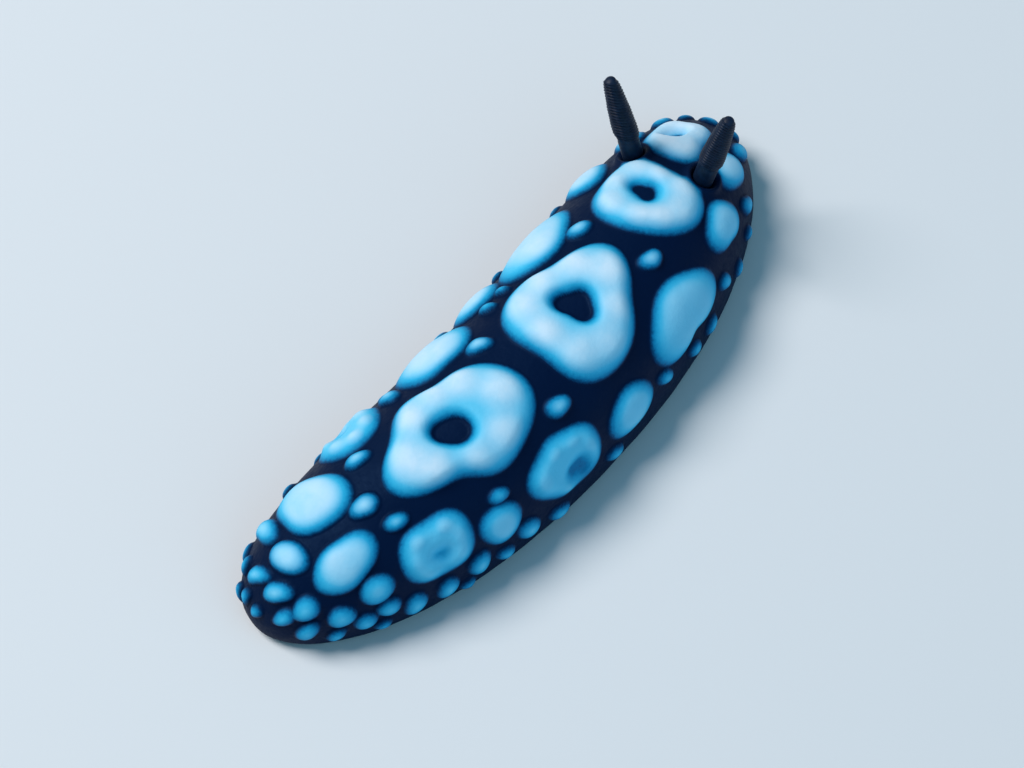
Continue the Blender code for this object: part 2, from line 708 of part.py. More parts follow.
def build_mantle():
    ground = finish("mantle black")
    pale = finish("wart white")
    whole = mantle_body(ground)
    warts = listed_warts()
    warts += margin_warts(warts)
    pieces = []
    for number, values in enumerate(warts):
        pieces.append(wart(f"wart_{number}", materials=(pale, ground), **values))
    pieces += [collar(side, (ground,)) for side in RHINOPHORES]
    part_mantle(joined(whole, pieces))


def build():
    clear_scene()
    build_mantle()
    foot((finish("sole grey"),))
    mouth((finish("mouth grey"),))
    for label, side in (("left", 1), ("right", -1)):
        rhinophore(label, (finish("rhinophore black", label),))
        oral_tentacle(label, side, (finish("oral tentacle grey", label),))
        gills(label, side, (finish("gill grey", label),))
    for obj in bpy.data.objects:
        obj.data.transform(Matrix.Scale(MM, 4))


build()
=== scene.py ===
import math
import random
from itertools import product

import bmesh
import bpy
import numpy as np
from mathutils import Matrix, Vector


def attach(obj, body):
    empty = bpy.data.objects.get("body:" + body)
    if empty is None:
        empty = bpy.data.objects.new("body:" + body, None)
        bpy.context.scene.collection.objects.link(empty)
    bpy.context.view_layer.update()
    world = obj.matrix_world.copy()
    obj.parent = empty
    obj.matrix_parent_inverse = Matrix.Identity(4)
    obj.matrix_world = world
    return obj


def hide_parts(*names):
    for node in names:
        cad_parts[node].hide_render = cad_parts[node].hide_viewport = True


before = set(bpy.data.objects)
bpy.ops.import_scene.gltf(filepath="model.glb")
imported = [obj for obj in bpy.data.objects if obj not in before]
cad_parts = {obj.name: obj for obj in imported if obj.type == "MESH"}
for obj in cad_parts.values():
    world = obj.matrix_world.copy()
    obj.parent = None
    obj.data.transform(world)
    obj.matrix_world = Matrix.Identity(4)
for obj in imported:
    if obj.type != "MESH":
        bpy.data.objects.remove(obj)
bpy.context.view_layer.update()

mm = 0.001  # shapes are worked in millimetres and stored in metres
print("frame loaded:", len(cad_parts), "CAD nodes")


# the body: a half barrel on a bent middle line, +X to the head, +Y to its left
bodyShape = {
    "headReach": 13.8,  # from the middle, along the bent middle line
    "tailReach": 14.5,
    "width": 8.2,
    "backHeight": 4.75,  # top of the back between the warts
    "rimHeight": 0.45,  # the mantle's edge above the ground
    "bendRadius": 41.5,
    "tailRise": 0.05,  # the rear stands this share higher
    "middle": (-0.33, 0.17),  # middle of the box, from the middle of the line
    "planFullness": 2.7,  # the higher, the longer the sides stay straight
    "planEnds": 0.44,  # the lower, the blunter head and tail are
    "crestFullness": 3,
    "backRoundness": 0.9,
    "underWidths": (1.0, 0.985, 0.95, 0.885, 0.845, 0.79, 0.6, 0.3, 0.0),  # from the edge inwards
    "underHeights": (0.45, 0.27, 0.2, 0.42, 0.8, 1.08, 1.15, 1.15, 1.15),
    "underFullness": 6,
    "sides": 264,
    "rings": 372,
    "backShare": 0.76,  # share of the sides that the back takes
    "foldHeight": 0.012,  # faint folds between the warts
    "foldWaves": (2.3, 0.8, 3, 9),  # two lengthwise, two round
    "foldSway": 1.7,
    "foldEnd": 0.97,
    "undersideFade": (0.12, 0.3),  # where under the edge the skin turns grey
}
bendRadius = bodyShape["bendRadius"]
quarterTurn = math.pi / 2


def softStep(low, high, value):
    share = np.clip((value - low) / (high - low), 0, 1)
    return share * share * (3 - 2 * share)


def place(along, left, height):
    # a point by its place along the bent line, out to the left of it, and up
    turn = along / bendRadius
    x = bendRadius * np.sin(turn) - np.sin(turn) * left - bodyShape["middle"][0]
    y = bendRadius * (1 - np.cos(turn)) + np.cos(turn) * left - bodyShape["middle"][1]
    return np.stack([x, y, height + 0 * x], axis=-1)


def endShare(along):
    # 0 in the middle, 1 at either end
    return np.minimum(np.maximum(along / bodyShape["headReach"], -along / bodyShape["tailReach"]), 1)


def halfWidth(along):
    plan = (1 - endShare(along) ** bodyShape["planFullness"]) ** bodyShape["planEnds"]
    return bodyShape["width"] / 2 * plan


def backRise(along):
    crest = np.sqrt(1 - endShare(along) ** bodyShape["crestFullness"])
    rise = (bodyShape["backHeight"] - bodyShape["rimHeight"]) * crest
    return rise * (1 - bodyShape["tailRise"] * along / bodyShape["tailReach"])


def backHeight(along, angle):
    return backRise(along) * np.maximum(np.cos(angle), 0) ** bodyShape["backRoundness"]


def backPoint(along, around):
    past = np.maximum(np.abs(around) - quarterTurn, 0)  # past the edge it drops straight down
    angle = np.clip(around, -quarterTurn, quarterTurn)
    height = bodyShape["rimHeight"] + backHeight(along, angle)
    return place(along, halfWidth(along) * np.sin(angle), height - halfWidth(along) * past)


def backScales(along, around):
    # millimetres of skin for each millimetre ahead and for each radian round
    small, step = 1e-3, 0.03
    ahead = backPoint(along + step, around) - backPoint(along - step, around)
    across = backPoint(along, around + small) - backPoint(along, around - small)
    return np.linalg.norm(ahead) / (2 * step), np.linalg.norm(across) / (2 * small)


def smoothed(values, rounds=3, reach=9):
    values = np.asarray(values, float)
    for _ in range(rounds):
        before = 2 * values[0] - values[reach:0:-1]
        padded = np.concatenate([before, values, np.full(reach, values[-1])])
        values = np.convolve(padded, np.full(2 * reach + 1, 1 / (2 * reach + 1)), "valid")
    return values


def lengthSoFar(x, y):
    return np.concatenate([[0], np.cumsum(np.hypot(np.diff(x), np.diff(y)))])


underFine = np.linspace(0, 1, 241)
underKnots = np.linspace(0, 1, len(bodyShape["underWidths"]))
underWidth = smoothed(np.interp(underFine, underKnots, bodyShape["underWidths"]))
underHeight = smoothed(np.interp(underFine, underKnots, bodyShape["underHeights"]))
underArc = lengthSoFar(underWidth * bodyShape["width"] / 2, underHeight)


def skinPoint(along, station):
    # station 0 is the crest, 1 the left edge, 2 the middle of the underside, and - the right
    reach = np.abs(station)
    angle = np.minimum(reach, 1) * quarterTurn
    under = np.clip(reach - 1, 0, 1)
    flat = np.sqrt(1 - endShare(along) ** bodyShape["underFullness"])
    left = np.where(reach <= 1, np.sin(angle), np.interp(under, underFine, underWidth))
    low = (np.interp(under, underFine, underHeight) - bodyShape["rimHeight"]) * flat
    height = bodyShape["rimHeight"] + np.where(reach <= 1, backHeight(along, angle), low)
    return place(along, np.sign(station) * left * halfWidth(along), height)


def skinNormal(along, station):
    step, sweep = 0.01, 0.002
    rear, front = 1e-3 - bodyShape["tailReach"], bodyShape["headReach"] - 1e-3
    low, high = np.clip(along - step, rear, front), np.clip(along + step, rear, front)
    ahead = skinPoint(high, station) - skinPoint(low, station)
    across = skinPoint(along, station + sweep) - skinPoint(along, station - sweep)
    normal = np.cross(ahead, across)
    return normal / np.maximum(np.linalg.norm(normal, axis=-1, keepdims=True), 1e-12)


# mesh helpers
def newPiece(name, edit, material):
    edit.normal_update()
    bmesh.ops.recalc_face_normals(edit, faces=edit.faces)
    mesh = bpy.data.meshes.new(name)
    edit.to_mesh(mesh)
    edit.free()
    mesh.materials.append(material)
    mesh.shade_smooth()
    piece = bpy.data.objects.new(name, mesh)
    bpy.context.scene.collection.objects.link(piece)
    return piece


def ballGrid(sides, rows):
    # a ball with each vertex's row, 0 at its top, and its angle round the upright axis
    edit = bmesh.new()
    bmesh.ops.create_uvsphere(edit, u_segments=sides, v_segments=rows, radius=1)
    spots = np.array([v.co for v in edit.verts])
    row = np.rint(np.arccos(np.clip(spots[:, 2], -1, 1)) / math.pi * rows).astype(int)
    return edit, row, np.arctan2(spots[:, 1], spots[:, 0])


def movePoints(edit, points):
    for vertex, point in zip(edit.verts, points * mm):
        vertex.co = point


# shader helpers
noiseRange = (0.3, 0.7)  # where most of a noise lies


def makeMaterial(name, roughness, specular=0.3, tint=(1, 1, 1, 1)):
    material = bpy.data.materials.new(name)
    material.use_nodes = True
    shader = material.node_tree.nodes["Principled BSDF"]
    shader.inputs["Roughness"].default_value = roughness
    shader.inputs["Specular IOR Level"].default_value = specular
    shader.inputs["Specular Tint"].default_value = tint
    return material, material.node_tree, shader


def setSocket(tree, socket, value):
    if isinstance(value, bpy.types.NodeSocket):
        tree.links.new(value, socket)
    else:
        socket.default_value = value


def addNode(tree, kind, inputs=(), **settings):
    node = tree.nodes.new(kind)
    for key, value in settings.items():
        setattr(node, key, value)
    for key, value in dict(inputs).items():
        setSocket(tree, node.inputs[key], value)
    return node


def noise(tree, size, detail=2.0, roughness=0.5):
    settings = {
        "Vector": addNode(tree, "ShaderNodeTexCoord").outputs["Object"],
        "Scale": 1 / (size * mm),
        "Detail": detail,
        "Roughness": roughness,
    }
    return addNode(tree, "ShaderNodeTexNoise", settings).outputs["Fac"]


def remap(tree, value, low, high, newLow=0.0, newHigh=1.0):
    settings = {"Value": value, "From Min": low, "From Max": high, "To Min": newLow, "To Max": newHigh}
    return addNode(tree, "ShaderNodeMapRange", settings).outputs["Result"]


def combine(tree, kind, first, second):
    return addNode(tree, "ShaderNodeMath", {0: first, 1: second}, operation=kind).outputs[0]


def blendColour(tree, share, first, second):
    inputs = {0: share, 6: first, 7: second}  # the colour sockets of a Mix node
    return addNode(tree, "ShaderNodeMix", inputs, data_type="RGBA").outputs[2]


def ramp(tree, value, stops):
    node = addNode(tree, "ShaderNodeValToRGB", {"Fac": value})
    node.color_ramp.interpolation = "B_SPLINE"
    while len(node.color_ramp.elements) < len(stops):
        node.color_ramp.elements.new(0.5)
    for element, (position, colour) in zip(node.color_ramp.elements, stops):
        element.position = position
        element.color = (*colour, 1)
    return node.outputs["Color"]


def bump(tree, shader, height, depth, strength):
    settings = {"Height": height, "Distance": depth * mm, "Strength": strength}
    if shader.inputs["Normal"].links:
        settings["Normal"] = shader.inputs["Normal"].links[0].from_socket
    node = addNode(tree, "ShaderNodeBump", settings)
    tree.links.new(node.outputs["Normal"], shader.inputs["Normal"])


# ring warts. at: ahead of the middle, degrees round from the crest (left is +); size: length and
# width; turn: of the length, to the left; lobes of the outline: count, depth, way; pit: the same,
# and how deep; puffs: the ways in which the ring swells
ringWarts = {
    "brow": dict(
        at=(11.4, 10), size=(3.0, 2.65), turn=0, lobes=((3, 0.07, 80), (4, 0.07, -45)),
        pit=dict(at=(11.5, 14), size=(0.7, 0.28), turn=-50, lobes=(), depth=0.95),
        puffs=(-152, -100, -40, 15, 62, 118, 168), puffWidth=0.42,
    ),
    "collar": dict(
        at=(7.88, 3), size=(4.55, 3.75), turn=-81, lobes=((3, 0.08, 43), (4, 0.03, 41)),
        pit=dict(at=(8.0, 5), size=(0.98, 0.62), turn=80, lobes=((3, 0.12, 90),), depth=1),
        puffs=(-168, -130, -92, -50, 0, 45, 90, 140),
    ),
    "saddle": dict(
        at=(1.94, -4.3), size=(5.6, 5.2), turn=19, lobes=((3, 0.115, 7), (4, 0.02, 14), (5, 0.024, 8)),
        pit=dict(at=(2.08, -3.5), size=(1.5, 1.15), turn=104, lobes=((3, 0.14, 128),), depth=1),
        puffs=(174, 127, 84, 36, -4, -51, -98, -137),
    ),
    "rump": dict(
        at=(-4.65, -4), size=(6.6, 4.45), turn=-10,
        lobes=((3, 0.035, -57), (4, 0.07, 13), (5, 0.045, -27)),
        pit=dict(at=(-4.95, -4.4), size=(1.5, 1.08), turn=-32, lobes=((3, 0.05, 150),), depth=1),
        puffs=(-102, -54, -4, 41, 84, 130, 176, -157),
    ),
    "rightHip": dict(
        at=(-7.95, -51.5), size=(3.3, 2.6), turn=0, lobes=((4, 0.055, 40),),
        pit=dict(at=(-7.9, -56), size=(0.5, 0.34), turn=-20, lobes=((3, 0.12, 30),), depth=0.85),
        puffs=(130, 50, -38, -140, 180, 0),
    ),
    "rightFlank": dict(
        at=(-2.35, -60.5), size=(3.75, 2.7), turn=-7, lobes=((3, 0.02, 60), (5, 0.035, 27)),
        pit=dict(at=(-2.0, -68), size=(1.2, 0.85), turn=-25, lobes=((3, 0.1, -60),), depth=0.9),
        puffs=(115, 55, 0, -55, -120, 172),
    ),
    "leftHip": dict(
        at=(-7.5, 48.5), size=(3.1, 2.65), turn=8, lobes=((3, 0.05, -90), (4, 0.03, 40)),
        pit=dict(at=(-7.7, 56), size=(0.55, 0.4), turn=0, lobes=(), depth=0.8),
        puffs=(-150, -95, -35, 20, 80, 140),
    ),
}
# the other warts: ahead, degrees round, length, width, turn, and for the large ones the lobes
largeWarts = (
    (-10.6, 24.5, 3.45, 2.6, -57, ((3, 0.09, -16),)),
    (-11.0, -28.5, 2.95, 1.85, 12, ((3, 0.06, 7),)),
    (-5.55, -62.5, 1.95, 1.75, -10, ((3, 0.04, 20),)),
    (4.8, -54, 4.6, 2.6, 0, ((3, 0.12, -30), (4, 0.04, 45))),
    (0.9, -67, 2.65, 1.9, 4, ((3, 0.05, 80),)),
    (8.75, -49, 2.45, 1.75, -6, ((3, 0.09, -51),)),
    (11.05, -38.4, 2.05, 1.65, -20, ((3, 0.06, 60),)),
    (8.2, 55, 2.2, 2.0, 0, ((3, 0.04, 15),)),
    (4.0, 46.5, 4.2, 2.6, 4, ((3, 0.05, -90),)),
    (0.6, 58.5, 2.45, 1.9, 0, ((3, 0.04, 70),)),
    (-2.75, 46.5, 3.8, 2.6, -3, ((4, 0.04, -45),)),
)
smallWarts = (
    (-12.45, 2, 1.8, 1.25, -60), (-10.45, -55, 1.45, 1.2, 10), (-12.85, -45.5, 1.2, 0.95, 20),
    (-12.4, 44, 1.9, 0.95, 90), (-13.6, 16, 1.3, 0.7, -50), (-13.4, -17, 1.35, 0.8, -30),
    (-13.6, -46, 1.0, 0.65, 10), (-11.9, -64, 1.15, 0.95, 0), (-11.2, -76, 0.95, 0.8, 0),
    (-10.3, -72, 1.0, 0.85, 0), (-9.4, -79.5, 1.15, 0.95, 60), (-8.15, -80.5, 1.1, 0.95, 60),
    (-6.8, -77.5, 1.15, 1.0, 60), (-5.75, -83, 0.9, 0.65, -30), (-4.65, -78.5, 1.2, 0.95, -40),
    (-3.3, -85, 1.1, 0.7, -20), (5.2, 24.5, 1.15, 0.75, -25), (-1.5, 23, 1.15, 0.75, -27),
    (-5.3, 46, 1.05, 0.8, -60), (-8.25, 22, 1.15, 0.7, -14), (-9.25, -5.5, 1.25, 0.85, -6),
    (-8.7, -24.5, 1.05, 0.65, -10), (0.3, 40, 0.8, 0.5, -40), (5.45, -20.5, 1.15, 0.75, -20),
    (-1.4, -33, 1.2, 0.8, -11), (-5.15, -47.5, 0.95, 0.6, -10), (2.75, -72, 0.95, 0.6, -30),
    (-0.4, -82, 1.0, 0.6, -20), (12.4, -50, 1.2, 0.8, -30), (10.4, -66, 1.0, 0.7, -30),
    (7.2, -72, 0.9, 0.65, -30), (10.9, 52, 1.6, 1.3, 10), (12.5, 46, 1.0, 0.75, 0),
    (-13.1, -70, 1.1, 0.7, 30), (-12.25, -81, 0.85, 0.55, 30), (-10.65, -85, 0.7, 0.45, 0),
    (-7.4, -87, 0.7, 0.45, 0), (1.35, 41.5, 0.7, 0.4, -50), (-13.65, 50, 0.75, 0.5, 0),
    (-13.2, 76, 0.9, 0.6, 20), (-14.25, 62, 0.65, 0.5, 0), (-14.25, 22, 0.65, 0.5, 0),
    (-14.25, -20, 0.6, 0.5, 0), (13.45, -3, 0.65, 0.85, 0), (13.4, 44, 0.7, 0.6, 0),
    (13.25, -48, 0.65, 0.5, 0),
)
wartShape = {
    "rise": 0.17,
    "swell": 0.08,  # height gained for each millimetre of size
    "skirt": 0.05,  # a wart's foot reaches this far past its outline
    "outerWall": 0.85,  # a ring rounds up to its full height this far in
    "domePower": 2.4,  # the others are domes
    "domeEdge": 0.72,
    "innerWall": 0.85,  # a ring rounds down to its pit over this much
    "innerCurve": 1.5,
    "pitSlope": 0.38,  # how much of that lies inside the edge of a wide pit
    "narrowSlope": 0.5,  # and at most this share of a narrow one's width
    "pitFloor": -0.22,
    "fullPit": 0.5,  # pits narrower than this have a steeper bank
    "narrowBank": 0.35,  # down to this share
    "shallow": 1.3,  # how far up the floor of a pit without depth would be
    "puffFill": 1.3,  # how well the puffs fill the ring between them
    "puffLimit": 0.66,
    "ringPuffs": (0.66, 0.235, 0.4),  # place and width by the outline's reach, share of the height
    "plainPuffs": (0.4, 0.4, 0.26),
    "plainPuffCount": 5,
    "puffShift": 0.3,
    "smallLobes": (0.02, 0.06),
    "seed": 5,
}
marginShape = {
    "rows": (68, 80),  # degrees: rows of tiny warts above the mantle's edge
    "step": 1.3,
    "sizes": (0.65, 1.0),
    "width": 0.75,  # as a share of the length
    "shifts": (0.2, 3, 0.8),  # ahead in millimetres, round in degrees, turn in radians
    "ends": 0.93,
    "room": 0.3,  # least skin between a tiny wart and the next
    "seed": 11,
}
wartPaleness = {
    "rimFade": (-0.08, 0.68),  # from dark skin to fully pale, in from the outline: partly the wart's own pale skin, partly painted shade on its rounded edge
    "pitFade": (-0.05, 0.45),
    "pitSoft": 2.2,  # a shallow pit darkens slowly to its middle
    "pitBlue": 1.3,  # and stays bluer there
    "fullCrown": 1.45,  # warts narrower than this stay bluer on top
    "rightFlank": (0.75, 8, 55),  # painted shade: the right flank's tops stay bluer too: share, and degrees down from the crest
    "leftFlank": (0.32, 10, 50),  # painted shade, weaker, on the left flank
    "tail": (0.45, 6, 13),  # painted shade towards the tail: share, and millimetres behind the middle
}


def outline(angle, form):
    length, width = form["size"]
    tilted = angle - form["turn"]
    oval = length * width / 2 / np.hypot(width * np.cos(tilted), length * np.sin(tilted))
    lobes = (depth * np.cos(count * (angle - math.radians(way))) for count, depth, way in form["lobes"])
    return oval * (1 + sum(lobes))


def inRadians(at, turn, **others):
    return dict(others, at=(at[0], math.radians(at[1])), turn=math.radians(turn))


def listedWarts():
    warts = []
    for ring in ringWarts.values():
        pit, puffs = inRadians(**ring["pit"]), [math.radians(way) for way in ring["puffs"]]
        warts.append({**inRadians(**ring), "pit": pit, "puffs": puffs})
    draw = random.Random(wartShape["seed"])
    step, shift = math.tau / wartShape["plainPuffCount"], wartShape["puffShift"]
    for ahead, degrees, length, width, turn, lobes in largeWarts:
        first = draw.uniform(0, math.tau)
        puffs = [first + i * step + draw.uniform(-shift, shift) for i in range(wartShape["plainPuffCount"])]
        wart = inRadians((ahead, degrees), turn, size=(length, width), lobes=lobes, puffs=puffs)
        warts.append(wart)
    for ahead, degrees, length, width, turn in smallWarts:
        lobes = ((3, draw.uniform(*wartShape["smallLobes"]), draw.uniform(0, 120)),)
        warts.append(inRadians((ahead, degrees), turn, size=(length, width), lobes=lobes))
    return warts


def addMarginWarts(warts):
    draw = random.Random(marginShape["seed"])
    step = marginShape["step"]
    aheadShift, degreesShift, turnShift = marginShape["shifts"]
    numbers = range(1, int((bodyShape["headReach"] + bodyShape["tailReach"]) / step))
    for side, (row, degrees), number in product((1, -1), enumerate(marginShape["rows"]), numbers):
        ahead = (number + 0.5 * row) * step - bodyShape["tailReach"] + draw.uniform(-aheadShift, aheadShift)
        offCrest = side * math.radians(degrees + draw.uniform(-degreesShift, degreesShift))
        size = draw.uniform(*marginShape["sizes"])
        turn = draw.uniform(-turnShift, turnShift)
        if endShare(ahead) <= marginShape["ends"] and roomAround(ahead, offCrest, size, warts):
            wart = dict(at=(ahead, offCrest), size=(size, marginShape["width"] * size), turn=turn, lobes=())
            warts.append(wart)


def roomAround(ahead, offCrest, size, warts):
    aheadScale, acrossScale = backScales(ahead, offCrest)
    for other in warts:
        x = (ahead - other["at"][0]) * aheadScale
        y = (offCrest - other["at"][1]) * acrossScale
        free = math.hypot(x, y) - size / 2 - outline(math.atan2(y, x), other)
        if free <= marginShape["room"]:
            return False
    return True


def roundUp(depth, wall):
    return np.sin(quarterTurn * np.clip(depth / wall, 0, 1))


def puffField(x, y, wart):
    # 1 on a puff, and less between them
    where, usual, _ = wartShape["ringPuffs" if "pit" in wart else "plainPuffs"]
    width = wart.get("puffWidth", usual)
    total = 0
    for way in wart["puffs"]:
        away = outline(way, wart)
        apart = np.hypot(x - where * away * math.cos(way), y - where * away * math.sin(way))
        total = total + np.exp(-((apart / min(width * away, wartShape["puffLimit"])) ** 2))
    return 1 - np.exp(-wartShape["puffFill"] * total)


def sinkPit(pit, x, y, lift, white):
    # rounds the ring down to its pit, and darkens it there
    bank = np.hypot(x, y) - outline(np.arctan2(y, x), pit)
    narrow, width = wartShape["narrowBank"], pit["size"][1]
    spread = narrow + (1 - narrow) * min(1, width / wartShape["fullPit"])
    missing = 1 - pit["depth"]
    floor = wartShape["pitFloor"] + missing * wartShape["shallow"]
    slope = min(wartShape["pitSlope"], wartShape["narrowSlope"] * width)
    wall = roundUp(bank + slope, wartShape["innerWall"] * spread) ** wartShape["innerCurve"]
    low, high = wartPaleness["pitFade"]
    fade = softStep(low - wartPaleness["pitSoft"] * missing, high * spread, bank)
    bluest = wartPaleness["pitBlue"] * missing
    return floor + (lift - floor) * wall, white * (bluest + (1 - bluest) * fade)


def wartField(along, around):
    # height, paleness and white top of every wart at each point of the skin; the white top is partly the
    # wart's paler skin and partly painted light: a painted highlight on the puffs and painted shade on the
    # flanks and tail
    height, pale, crownAndPaintedLight = np.zeros(len(along)), np.zeros(len(along)), np.zeros(len(along))
    warts = listedWarts()
    listed = len(warts)
    addMarginWarts(warts)
    print(len(warts), "warts,", len(warts) - listed, "of them along the margin")
    for wart in warts:
        size, pit = wart["size"], wart.get("pit")
        meanSize = math.sqrt(size[0] * size[1])
        aheadScale, acrossScale = backScales(*wart["at"])
        x, y = (along - wart["at"][0]) * aheadScale, (around - wart["at"][1]) * acrossScale
        near = np.nonzero(np.hypot(x, y) < 0.65 * max(size) + 0.5)[0]  # a little past its outline
        x, y = x[near], y[near]
        reach, edge = np.hypot(x, y), outline(np.arctan2(y, x), wart)
        if pit:
            inside = edge - reach
            lift = roundUp(inside + wartShape["skirt"], wartShape["outerWall"])
        else:
            inside = (1 - reach / edge) * meanSize / 2
            outward = np.minimum(reach / (edge + wartShape["skirt"]), 1)
            lift = (1 - outward ** wartShape["domePower"]) ** wartShape["domeEdge"]
        puffs = puffField(x, y, wart) if "puffs" in wart else 1.0
        share = wartShape["ringPuffs" if pit else "plainPuffs"][2]
        lift = lift * (wartShape["rise"] + wartShape["swell"] * meanSize) * (1 - share * (1 - puffs))
        # partly painted shade: the paleness fades out down each wart's rounded edge
        white = softStep(*wartPaleness["rimFade"], inside)
        if pit:
            pitX = x - (pit["at"][0] - wart["at"][0]) * aheadScale
            pitY = y - (pit["at"][1] - wart["at"][1]) * acrossScale
            lift, white = sinkPit(pit, pitX, pitY, lift, white)
        height[near] = np.maximum(height[near], lift)
        pale[near] = np.maximum(pale[near], white)
        # painted highlight: a wart's top is whitest on its puffs, where light catches the swellings; the rest
        # is its paler skin
        topped = white * puffs * min(1, size[1] / wartPaleness["fullCrown"])
        crownAndPaintedLight[near] = np.maximum(crownAndPaintedLight[near], topped)
    # painted shade: the white tops are dimmed down the right flank, less down the left flank, and towards the
    # tail
    downRight = -np.degrees(around)
    for name, away in (("rightFlank", downRight), ("tail", -along), ("leftFlank", -downRight)):
        share, start, end = wartPaleness[name]
        crownAndPaintedLight *= 1 - share * softStep(start, end, away)
    return height, pale, crownAndPaintedLight


# the two feelers on the back, each in a low collar of skin
feelerShape = {
    "sides": {"left": (9.8, 31, 14.5), "right": (9.9, -22.5, 12)},  # ahead, degrees round, outward lean
    "lean": 5,  # degrees forward
    "length": 4.5,
    "root": -0.35,
    "stalkRadius": 0.42,
    "stalkTop": 1.0,
    "clubRadius": 0.54,
    "clubWave": (0.25, 0.78),  # the part of a half wave that the club's outline follows
    "clubStart": 0.12,
    "taper": 0.28,
    "tipLength": 0.32,
    "leaves": 22,
    "leafDepth": 0.06,
    "leafTilt": 0.6,  # each leaf is lower in front
    "leafLip": 0.72,  # a leaf swells slowly up to here, and ends in a thin lip
    "leafSwell": 1.5,
    "leafEnds": (0.03, 0.93),
    "seam": (0.1, 0.22),  # depth and width of the groove down the rear
    "segments": 40,
    "rowsPerLeaf": 7,
    "plainRows": 24,
}
collarShape = {
    "radius": 0.62,
    "width": 0.14,
    "height": 0.2,
    "bare": (0.6, 0.86),  # no wart comes nearer to the feeler
    "socket": (0.5, 0.34),
    "socketDepth": 0.3,
    "reach": 1.2,  # up and down the feeler
}


def feelerAxis(side):
    ahead, degrees, lean = feelerShape["sides"][side]
    outward = math.copysign(math.tan(math.radians(lean)), degrees)
    turn = ahead / bendRadius
    forward = np.array([math.cos(turn), math.sin(turn), 0])
    left = np.array([-math.sin(turn), math.cos(turn), 0])
    upright = np.array([0, 0, 1])
    axis = forward * math.tan(math.radians(feelerShape["lean"])) + left * outward + upright
    return backPoint(ahead, math.radians(degrees)), axis / np.linalg.norm(axis), forward


def feelerRadius(height, rise):
    start, span = feelerShape["clubWave"]
    wave = np.sin(math.pi * np.minimum(1, start + span * rise))
    wave = wave * softStep(0, feelerShape["clubStart"], rise)
    radius = feelerShape["stalkRadius"] + (feelerShape["clubRadius"] - feelerShape["stalkRadius"]) * wave
    tip = np.clip((feelerShape["length"] - height) / feelerShape["tipLength"], 0, 1)
    return radius * (1 - feelerShape["taper"] * rise) * np.sqrt(1 - (1 - tip) ** 2)


def makeFeeler(side, material):
    base, axis, forward = feelerAxis(side)
    rows = feelerShape["leaves"] * feelerShape["rowsPerLeaf"] + feelerShape["plainRows"]
    edit, row, angle = ballGrid(feelerShape["segments"], rows)
    root, length, stalkTop = feelerShape["root"], feelerShape["length"], feelerShape["stalkTop"]
    height = root + (length - root) * (1 - row / rows)
    rise = np.clip((height - stalkTop) / (length - stalkTop), 0, 1)
    radius = feelerRadius(height, rise)
    wave, lip = (rise * feelerShape["leaves"]) % 1, feelerShape["leafLip"]
    leaf = np.where(wave < lip, (wave / lip) ** feelerShape["leafSwell"], 1 - (wave - lip) / (1 - lip))
    low, high = feelerShape["leafEnds"]
    leafy = softStep(0, low, rise) * softStep(1, high, rise)
    radius = radius - feelerShape["leafDepth"] * (1 - leaf) * leafy
    seamDepth, seamWidth = feelerShape["seam"]
    radius = radius * (1 - seamDepth * np.exp(-((np.abs(angle) - math.pi) / seamWidth) ** 2) * leafy)
    radius = np.where((row == 0) | (row == rows), 0, radius)
    height = height - feelerShape["leafTilt"] * radius * np.cos(angle) * leafy
    sideways = np.cross(axis, forward)
    sideways = sideways / np.linalg.norm(sideways)
    front = np.cross(sideways, axis)
    offset = np.cos(angle)[:, None] * front + np.sin(angle)[:, None] * sideways
    movePoints(edit, base + axis * height[:, None] + offset * radius[:, None])
    return newPiece("feeler_" + side, edit, material)


def feelerCollars(points, height, pale, crownAndPaintedLight):
    for side in feelerShape["sides"]:
        base, axis, _ = feelerAxis(side)
        along = (points - base) @ axis
        away = np.linalg.norm(points - base - along[:, None] * axis, axis=1)
        away = np.where(np.abs(along) < collarShape["reach"], away, np.inf)
        bare = softStep(*collarShape["bare"], away)
        for field in (height, pale, crownAndPaintedLight):
            field *= bare
        ridge = np.exp(-((away - collarShape["radius"]) / collarShape["width"]) ** 2)
        socket = softStep(*collarShape["socket"], away)
        height += collarShape["height"] * ridge - collarShape["socketDepth"] * socket


def folds(along, around):
    lengthwise, drift, sway, crosswise = bodyShape["foldWaves"]
    crossed = np.sin(along * lengthwise + bodyShape["foldSway"] * np.sin(around * sway))
    crossed = crossed * np.sin(around * crosswise + along * drift)
    return bodyShape["foldHeight"] * crossed * softStep(1, bodyShape["foldEnd"], endShare(along))


def makeSkin(material):
    edit, row, angle = ballGrid(bodyShape["sides"], bodyShape["rings"])
    fine = -np.cos(np.linspace(0, math.pi, 4001))
    fine = fine * np.where(fine > 0, bodyShape["headReach"], bodyShape["tailReach"])
    arc = lengthSoFar(fine, halfWidth(fine))
    along = np.interp(row / bodyShape["rings"], arc / arc[-1], fine)  # rings evenly spaced over the skin
    turn, back = np.abs(angle) / math.pi, bodyShape["backShare"]
    reach = np.where(turn < back, turn / back, 1 + (turn - back) / (1 - back))
    station = np.where(angle < 0, -reach, reach)
    under = np.clip(reach - 1, 0, 1)
    least = 0.3  # keeps the very tips from winding up
    past = np.interp(under, underFine, underArc) / np.maximum(halfWidth(along), least)
    around = np.sign(station) * (np.minimum(reach, 1) * quarterTurn + past)
    points, normals = skinPoint(along, station), skinNormal(along, station)
    height, pale, crownAndPaintedLight = wartField(along, around)
    feelerCollars(points, height, pale, crownAndPaintedLight)
    height = height + folds(along, around) * (1 - pale)
    movePoints(edit, points + normals * height[:, None])
    skin = newPiece("mantle_skin", edit, material)
    below = softStep(*bodyShape["undersideFade"], under)
    for name, field in (("pale", pale), ("crownAndPaintedLight", crownAndPaintedLight), ("below", below)):
        attribute = skin.data.attributes.new(name, "FLOAT", "POINT")
        attribute.data.foreach_set("value", field.astype(np.float32))
    print("mantle skin:", len(skin.data.polygons), "faces")
    return skin


